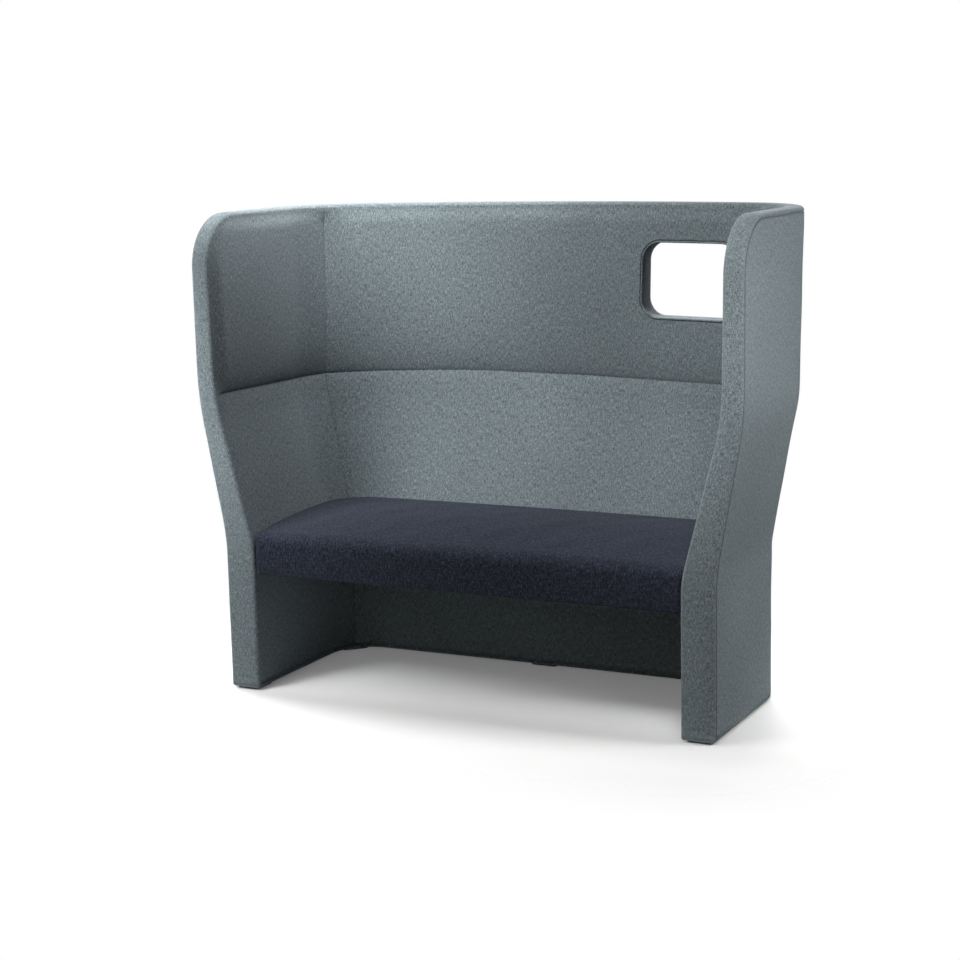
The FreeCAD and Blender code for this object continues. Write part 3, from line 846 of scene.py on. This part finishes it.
def seat_cushion():
    """Crowned pad: flat front, rolled front edge, edges that turn down against the wall."""
    rear = rear_line(SEAT_EDGE_Z, SEAT_GAP, 26, 40)
    near_wall = wall_half(SEAT_EDGE_Z) - np.array([0.3, 0.9, 1.9, 3.4, 5.4, 8.0, 11.0, 15.0, 20.0])
    xs = np.unique(np.round(np.concatenate([rear[:, 0], near_wall]), 3))[::-1]
    rear_y = np.interp(xs[::-1], rear[::-1, 0], rear[::-1, 1])[::-1]
    xs = np.concatenate([xs, -xs[::-1][1:]])
    rear_y = np.concatenate([rear_y, rear_y[::-1][1:]])
    ripple = waves(seed=5, count=9, shortest=90.0, longest=360.0)
    profile = seat_profile()
    rows, cloth, run = front_rows(profile, xs, ripple)
    more_rows, more_cloth = top_rows(SEAT_FRONT + profile[-1][0], xs, rear_y, ripple, run)
    rows += more_rows
    cloth += more_cloth
    sheet = Sheet()
    ids = np.array([sheet.add(r, c, 0.0) for r, c in zip(rows, cloth)])
    sheet.grid(ids)

    # The cover's sides run on down against the wall
    last_row = len(rows) - 1
    last_col = len(xs) - 1
    rim = [(r, 0) for r in range(2, last_row + 1)] + [(last_row, c) for c in range(1, last_col + 1)]
    rim += [(r, last_col) for r in range(last_row - 1, 1, -1)]
    line = np.array([ids[r, c] for r, c in rim])
    low = np.array([rows[r][c] for r, c in rim])
    flat = np.array([cloth[r][c] for r, c in rim])
    low[:, :2] = inside_plan(low[:, :2], LEVELS[0], SEAT_GAP)
    low[:, 1] = np.maximum(low[:, 1], SEAT_FRONT + SEAT_SIDE_SETBACK)
    low[:, 2] = SEAT_BOTTOM + SEAT_SIDE_RISE
    sheet.strip(line, sheet.add(low, flat + SEAT_SIDE_CLOTH, 0.0))

    # One face closes the underside
    cushion = sheet.build("seat_cushion", lambda p: np.array([0.0, -1.0, 2.0]))
    shape = bmesh.new()
    shape.from_mesh(cushion.data)
    bmesh.ops.holes_fill(shape, edges=[e for e in shape.edges if e.is_boundary], sides=0)
    shape.to_mesh(cushion.data)
    shape.free()
    return cushion


def under_cloth():
    """Dust cloth drawn tight below the seat, sagging a little between the rails."""
    rear = rear_line(DUST_PLAN_Z, DUST_GAP, 20, 24)
    xs = np.concatenate([rear[:, 0], -rear[::-1, 0][1:]])
    ys = np.concatenate([rear[:, 1], rear[::-1, 1][1:]])
    sheet = Sheet()
    rows = []
    slack = waves(seed=11, count=6, shortest=120.0, longest=420.0)
    front = SEAT_FRONT + DUST_FRONT
    for step in np.linspace(0.0, 1.0, 34):
        y = front + (ys - front) * step
        dip = np.minimum(np.minimum(y - front, ys - y), DUST_HALF - np.abs(xs))
        sag = DUST_SAG * smooth(dip / DUST_SAG_OVER)
        sag = sag + DUST_UNEVEN * slack(xs, y) * smooth(dip / DUST_UNEVEN_OVER)
        points = np.stack([xs, y, SEAT_BOTTOM - DUST_DROP - sag], -1)
        rows.append(sheet.add(points, np.stack([xs, y], -1), 0.0))
    sheet.grid(np.array(rows))
    return sheet.build("seat_dust_cloth", lambda p: np.array([0.0, 0.0, -1.0]))


def base_strip():
    """Cloth strip under the wall's base, and its length along the middle."""
    wing_end = LEVELS[0]["corner_y"] - STRIP_CORNER_GAP
    cols = columns(WING, -1.0, np.linspace(STRIP_FRONT, wing_end, 20))
    cols += columns(CORNER, -1.0, np.linspace(0.0, 1.0, 14)[:-1])
    cols += columns(BACK, 1.0, np.linspace(-1.0, 1.0, 40))
    cols += columns(CORNER, 1.0, np.linspace(1.0, 0.0, 14)[1:])
    cols += columns(WING, 1.0, np.linspace(wing_end, STRIP_FRONT, 20))
    kind, side, val = (np.array(part) for part in zip(*cols))
    length = length_along(place(kind, side, val, BASE, share=0.5)[0])
    uneven = waves(seed=12, count=5, shortest=40.0, longest=160.0)
    sheet = Sheet()
    rows = []
    for depth in STRIP_DEPTHS:
        points = place(kind, side, val, BASE, depth)[0]
        points[:, 2] = BASE + STRIP_RISE + STRIP_UNEVEN * uneven(length, depth)
        rows.append(sheet.add(points, np.stack([length, np.full(len(cols), depth)], -1), 0.0))
    sheet.grid(np.array(rows))
    return sheet.build("base_dust_cloth", lambda p: np.array([0.0, 0.0, -1.0])), float(length[-1])


def set_inputs(node, **values):
    """Sets a node's sockets by name, with _ for a space."""
    for name, value in values.items():
        node.inputs[name.replace("_", " ")].default_value = value


def colour_ramp(tree, *stops):
    """Ramp through (position, colour) stops, from the lowest."""
    node = tree.nodes.new("ShaderNodeValToRGB")
    elements = node.color_ramp.elements
    for element, (position, colour) in zip((elements[0], elements[-1]), (stops[0], stops[-1])):
        element.position = position
        element.color = colour + (1.0,)
    for position, colour in stops[1:-1]:
        elements.new(position).color = colour + (1.0,)
    return node


def new_material(name):
    """Material with its node tree and its surface shader."""
    mat = bpy.data.materials.new(name)
    mat.use_nodes = True
    return mat, mat.node_tree, mat.node_tree.nodes["Principled BSDF"]


def cloth_material(name, dark, mid, light, thread, sheen, streak):
    """Woven melange cloth with relief, slight wear and painted shade in seams and creases. streak: shares of
    warp, weft, specks and slubs.
    """
    mat, tree, bsdf = new_material(name)
    nodes = tree.nodes
    link = tree.links.new
    set_inputs(bsdf, Roughness=0.92, Specular_IOR_Level=0.04)
    set_inputs(bsdf, Sheen_Weight=sheen, Sheen_Roughness=0.55, Sheen_Tint=(0.82, 0.92, 1.0, 1.0))
    uv = nodes.new("ShaderNodeUVMap")
    uv.uv_map = "UVMap"

    def mapped(su, sv):
        node = nodes.new("ShaderNodeMapping")
        set_inputs(node, Scale=(su, sv, 1.0))
        link(uv.outputs["UV"], node.inputs["Vector"])
        return node.outputs["Vector"]

    def noise(vector, detail, rough):
        node = nodes.new("ShaderNodeTexNoise")
        node.noise_dimensions = "2D"
        set_inputs(node, Scale=1.0, Detail=detail, Roughness=rough)
        link(vector, node.inputs["Vector"])
        return node.outputs["Fac"]

    def math_node(op, a, b):
        node = nodes.new("ShaderNodeMath")
        node.operation = op
        for socket, value in zip(node.inputs, (a, b)):
            if isinstance(value, (int, float)):
                socket.default_value = value
            else:
                link(value, socket)
        return node.outputs[0]

    def mixed(*parts):
        """Sum of values, each times its share."""
        total = None
        for value, share in parts:
            part = math_node("MULTIPLY", value, share)
            total = part if total is None else math_node("ADD", total, part)
        return total

    warp = noise(mapped(0.72 / thread, 0.13 / thread), 3.0, 0.7)
    weft = noise(mapped(0.15 / thread, 0.8 / thread), 3.0, 0.7)
    speck = noise(mapped(1.2 / thread, 1.2 / thread), 1.0, 0.5)
    thick_warp = noise(mapped(0.3 / thread, 0.06 / thread), 1.0, 0.5)
    thick_weft = noise(mapped(0.06 / thread, 0.3 / thread), 1.0, 0.5)
    slub = mixed((thick_warp, 0.6), (thick_weft, 0.4))
    yarn = mixed(*zip((warp, weft, speck, slub), streak))
    ramp_node = colour_ramp(tree, (0.40, dark), (0.5, mid), (0.61, light))
    link(yarn, ramp_node.inputs["Fac"])

    wear = noise(mapped(3.2, 3.2), 3.0, 0.55)
    wear_range = nodes.new("ShaderNodeMapRange")
    set_inputs(wear_range, From_Min=0.3, From_Max=0.7, To_Min=0.95, To_Max=1.05)
    link(wear, wear_range.inputs["Value"])
    # Painted shade: the seam attribute darkens the cloth in seams, along the crease and round the window, on
    # top of the random wear
    attr = nodes.new("ShaderNodeAttribute")
    attr.attribute_name = "seam"
    seam_painted_shade = math_node("SUBTRACT", 1.0, math_node("MULTIPLY", attr.outputs["Fac"], SEAM_PAINTED_SHADE))
    wear_and_painted_shade = math_node("MULTIPLY", wear_range.outputs["Result"], seam_painted_shade)
    mixer = nodes.new("ShaderNodeVectorMath")
    mixer.operation = "SCALE"
    link(ramp_node.outputs["Color"], mixer.inputs[0])
    link(wear_and_painted_shade, mixer.inputs["Scale"])
    link(mixer.outputs["Vector"], bsdf.inputs["Base Color"])

    def wave(vector, direction):
        node = nodes.new("ShaderNodeTexWave")
        node.bands_direction = direction
        set_inputs(node, Scale=1.0, Distortion=0.6)
        link(vector, node.inputs["Vector"])
        return node.outputs["Fac"]

    pitch = 0.628 / thread
    weave = math_node("MULTIPLY", wave(mapped(pitch, pitch), "X"), wave(mapped(pitch, pitch), "Y"))
    relief = mixed((weave, 0.6), (yarn, 0.8))
    bump = nodes.new("ShaderNodeBump")
    set_inputs(bump, Strength=0.55, Distance=0.0006)
    link(relief, bump.inputs["Height"])
    link(bump.outputs["Normal"], bsdf.inputs["Normal"])
    return mat


def plain_material(name, low, high, rough, metal, scale, stretch):
    """Solid finish, speckled, or streaked where stretch isn't 1."""
    mat, tree, bsdf = new_material(name)
    link = tree.links.new
    set_inputs(bsdf, Roughness=rough, Metallic=metal)
    coord = tree.nodes.new("ShaderNodeTexCoord")
    mapping = tree.nodes.new("ShaderNodeMapping")
    set_inputs(mapping, Scale=(scale, scale * stretch, scale))
    texture = tree.nodes.new("ShaderNodeTexNoise")
    set_inputs(texture, Scale=1.0, Detail=4.0)
    ramp_node = colour_ramp(tree, (0.35, low), (0.65, high))
    bump = tree.nodes.new("ShaderNodeBump")
    set_inputs(bump, Strength=0.2, Distance=0.0004)
    link(coord.outputs["Object"], mapping.inputs["Vector"])
    link(mapping.outputs["Vector"], texture.inputs["Vector"])
    link(texture.outputs["Fac"], ramp_node.inputs["Fac"])
    link(texture.outputs["Fac"], bump.inputs["Height"])
    link(bump.outputs["Normal"], bsdf.inputs["Normal"])
    link(ramp_node.outputs["Color"], bsdf.inputs["Base Color"])
    return mat


shell_cloth = cloth_material(
    "shell_cloth",
    dark=(0.040, 0.055, 0.059),
    mid=(0.108, 0.132, 0.14),
    light=(0.235, 0.268, 0.278),
    thread=0.0012,
    sheen=0.24,
    streak=(0.44, 0.27, 0.12, 0.17),
)
seat_cloth = cloth_material(
    "seat_cloth",
    dark=(0.0045, 0.0055, 0.0095),
    mid=(0.0145, 0.017, 0.027),
    light=(0.048, 0.054, 0.076),
    thread=0.0014,
    sheen=0.05,
    streak=(0.40, 0.29, 0.11, 0.20),
)
lining_cloth = cloth_material(
    "lining_cloth",
    dark=(0.010, 0.010, 0.010),
    mid=(0.016, 0.016, 0.017),
    light=(0.028, 0.028, 0.029),
    thread=0.0010,
    sheen=0.05,
    streak=(0.30, 0.30, 0.30, 0.10),
)

# Hard finishes: low and high colour, roughness, metal, fineness of the grain and its stretch
finishes = {
    "plywood": plain_material("plywood", (0.42, 0.29, 0.17), (0.60, 0.45, 0.29), 0.6, 0.0, 60.0, 9.0),
    "webbing": plain_material("webbing", (0.03, 0.03, 0.03), (0.10, 0.10, 0.10), 0.85, 0.0, 420.0, 0.2),
    "steel": plain_material("steel", (0.42, 0.42, 0.42), (0.62, 0.62, 0.62), 0.35, 1.0, 300.0, 1.0),
    "plastic": plain_material("plastic", (0.01, 0.01, 0.01), (0.022, 0.022, 0.022), 0.5, 0.0, 900.0, 1.0),
}


def finish_for(node):
    """Finish of a CAD node that keeps its own shape."""
    if node.startswith("glide_nuts") or node == "seat_bolts":
        return finishes["steel"]
    if node.startswith("glide_"):
        return finishes["plastic"]
    if node == "seat_webbing":
        return finishes["webbing"]
    return finishes["plywood"]


def dress(piece, material, slot, *nodes):
    """Gives a soft piece its cloth and its body, and hides the CAD nodes that it stands for. slot is not
    used.
    """
    piece.data.materials.append(material)
    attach(piece, "sofa")
    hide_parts(*nodes)


# Wall covers: columns of the left wing and corner, their mirror image, and the back with both corners
left_columns = columns(WING, -1.0, WING_STEPS[:-1]) + columns(CORNER, -1.0, HALF_CORNER)
right_columns = [(kind, 1.0, val) for kind, _, val in reversed(left_columns)]
left_end = columns(CORNER, -1.0, 1.0 - HALF_CORNER[::-1])
right_end = [(kind, 1.0, val) for kind, _, val in reversed(left_end)]
back_columns = left_end + columns(BACK, 1.0, np.linspace(-1.0, 1.0, 101)[1:-1]) + right_end
stretches = {"left": left_columns, "back": back_columns, "right": right_columns}
covers = {}
seed = 21
for face in ("inside", "outside"):
    for stretch, cols in stretches.items():
        cover = wall_cover(f"{face}_cover_{stretch}", cols, face == "inside", stretch == "back", seed)
        covers[f"cover_{face}_{stretch}"] = cover
        seed += 1
foams = {
    "cover_inside_left": ["foam_wing_left"],
    "cover_inside_back": ["foam_back"],
    "cover_inside_right": ["foam_wing_right"],
    "cover_outside_left": ["foam_corner_left"],
    "cover_outside_right": ["foam_corner_right"],
}
for node, piece in covers.items():
    inner = [f + "_" + band for f in foams.get(node, []) for band in ("low", "mid", "high")]
    dress(piece, shell_cloth, "shell_fabric", node, *inner)

lining, lining_length, lining_width = window_lining()
dress(lining, shell_cloth, "shell_fabric", "window_lining")

seat = seat_cushion()
dress(seat, seat_cloth, "seat_fabric", "seat_cover", "seat_foam")

dust = under_cloth()
dress(dust, lining_cloth, "lining_cloth", "seat_under_cloth")

strip, strip_length = base_strip()
dress(strip, lining_cloth, "lining_cloth", "base_cloth")

for node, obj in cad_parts.items():
    obj.data.materials.clear()
    obj.data.materials.append(finish_for(node))


def floor_material():
    """Pale matt floor that fades into the white background away from the sofa."""
    mat, tree, bsdf = new_material("floor")
    link = tree.links.new
    set_inputs(bsdf, Base_Color=(0.93, 0.927, 0.923, 1.0), Roughness=0.9, Specular_IOR_Level=0.1)
    spot = tree.nodes.new("ShaderNodeTexCoord").outputs["Object"]
    steps = {"ABSOLUTE": None, "SUBTRACT": FLOOR_SOLID, "MAXIMUM": (0.0, 0.0, 0.0), "LENGTH": None}
    for operation, value in steps.items():
        node = tree.nodes.new("ShaderNodeVectorMath")
        node.operation = operation
        if value:
            node.inputs[1].default_value = value
        link(spot, node.inputs[0])
        spot = node.outputs["Value" if operation == "LENGTH" else "Vector"]
    fade = tree.nodes.new("ShaderNodeMapRange")
    fade.interpolation_type = "SMOOTHSTEP"
    set_inputs(fade, From_Min=FLOOR_FADE_START, From_Max=FLOOR_FADE_END, To_Min=FLOOR_LEAST_FADE)
    clear = tree.nodes.new("ShaderNodeBsdfTransparent")
    mix = tree.nodes.new("ShaderNodeMixShader")
    link(spot, fade.inputs["Value"])
    link(fade.outputs["Result"], mix.inputs["Fac"])
    link(bsdf.outputs["BSDF"], mix.inputs[1])
    link(clear.outputs["BSDF"], mix.inputs[2])
    link(mix.outputs["Shader"], tree.nodes["Material Output"].inputs["Surface"])
    return mat


def studio_world():
    """White where it is seen, also in reflections and through clear things, and a faint fill elsewhere."""
    world = bpy.data.worlds.new("studio")
    world.use_nodes = True
    tree = world.node_tree
    link = tree.links.new
    tree.nodes.clear()
    out = tree.nodes.new("ShaderNodeOutputWorld")
    white = tree.nodes.new("ShaderNodeBackground")
    set_inputs(white, Color=(1.0, 1.0, 1.0, 1.0), Strength=1.0)
    fill = tree.nodes.new("ShaderNodeBackground")
    set_inputs(fill, Color=(0.97, 0.985, 1.0, 1.0), Strength=0.02)
    rays = tree.nodes.new("ShaderNodeLightPath")
    seen = rays.outputs["Is Camera Ray"]
    for ray in ("Is Transmission Ray", "Is Glossy Ray"):
        either = tree.nodes.new("ShaderNodeMath")
        either.operation = "MAXIMUM"
        link(seen, either.inputs[0])
        link(rays.outputs[ray], either.inputs[1])
        seen = either.outputs[0]
    choose = tree.nodes.new("ShaderNodeMixShader")
    link(seen, choose.inputs["Fac"])
    link(fill.outputs[0], choose.inputs[1])
    link(white.outputs[0], choose.inputs[2])
    link(choose.outputs[0], out.inputs["Surface"])
    return world


def stand(obj, across, above, behind, spot):
    """Places a lamp or the camera by its three axes and its position."""
    matrix = Matrix.Identity(4)
    for c, axis in enumerate((across, above, behind, spot)):
        for r in range(3):
            matrix[r][c] = axis[r]
    obj.matrix_world = matrix
    scene.collection.objects.link(obj)


def area_light(name, place_at, look_at, size_x, size_y, power, spread=180.0):
    """Rectangular lamp: position and aim in metres, power in watts, spread in degrees."""
    light = bpy.data.lights.new(name, "AREA")
    light.shape = "RECTANGLE"
    light.size = size_x
    light.size_y = size_y
    light.energy = power
    light.spread = math.radians(spread)
    start = np.array(place_at, float)
    ahead = np.array(look_at, float) - start
    ahead = ahead / np.linalg.norm(ahead)
    across = np.cross(ahead, [0.0, 1.0, 0.02])
    across = across / np.linalg.norm(across)
    obj = bpy.data.objects.new(name, light)
    stand(obj, across, np.cross(across, ahead), -ahead, start)


# Studio: pale floor, white surroundings, soft light from in front, above, the sides and behind
floor_mesh = bpy.data.meshes.new("floor")
floor_corners = [(x * FLOOR_HALF, y * FLOOR_HALF, 0.0) for x, y in ((-1, -1), (1, -1), (1, 1), (-1, 1))]
floor_mesh.from_pydata(floor_corners, [], [(0, 1, 2, 3)])
floor_mesh.materials.append(floor_material())
floor = bpy.data.objects.new("floor", floor_mesh)
scene.collection.objects.link(floor)
scene.world = studio_world()

# Lamps: place, aim, width, height, watts, and the spread of narrow ones
area_light("front_left", (-1.48, -1.76, 2.73), (0.0, 0.0, 0.8), 1.5, 1.5, 53.0)
area_light("front", (-0.60, -2.83, 1.58), (0.0, 0.0, 0.8), 1.5, 1.5, 16.0)
area_light("edge_left", (-1.20, -1.50, 1.5), (-0.86, -0.4, 0.75), 0.5, 0.5, 2.9, 50.0)
area_light("edge_right", (1.10, -1.30, 1.80), (0.87, -0.4, 0.95), 0.5, 0.5, 2.9, 52.0)
area_light("right", (2.05, 0.0, 1.35), (0.8, 0.0, 1.35), 0.6, 0.6, 21.5)
area_light("left", (-3.0, 0.6, 1.4), (-0.7, 0.0, 0.7), 1.2, 1.2, 75.0)
area_light("over_back", (-0.62, -0.75, 2.35), (-0.58, 0.35, 1.2), 0.6, 0.6, 2.4, 50.0)
area_light("over_seat", (-0.52, 0.12, 2.15), (-0.52, 0.13, 0.0), 0.8, 0.8, 27.0)
area_light("rear", (-0.6, 3.0, 1.9), (0.0, 0.3, 0.7), 1.8, 1.5, 150.0)

# Camera, fitted to the photograph's edges
yaw = math.radians(26.5524)
pitch = math.radians(10.0769)
roll = math.radians(1.265)
camera_at = (2.4275, -5.1002, 1.5825)
ahead = np.array([-math.sin(yaw) * math.cos(pitch), math.cos(yaw) * math.cos(pitch), -math.sin(pitch)])
across = np.array([math.cos(yaw), math.sin(yaw), 0.0])
down = np.cross(ahead, across)
turned_across = math.cos(roll) * across + math.sin(roll) * down
turned_down = -math.sin(roll) * across + math.cos(roll) * down
camera_data = bpy.data.cameras.new("camera")
camera_data.lens = 76.46857
camera_data.sensor_width = 36.0
camera = bpy.data.objects.new("camera", camera_data)
stand(camera, turned_across, -turned_down, -ahead, camera_at)
scene.camera = camera
scene.view_settings.view_transform = "Standard"
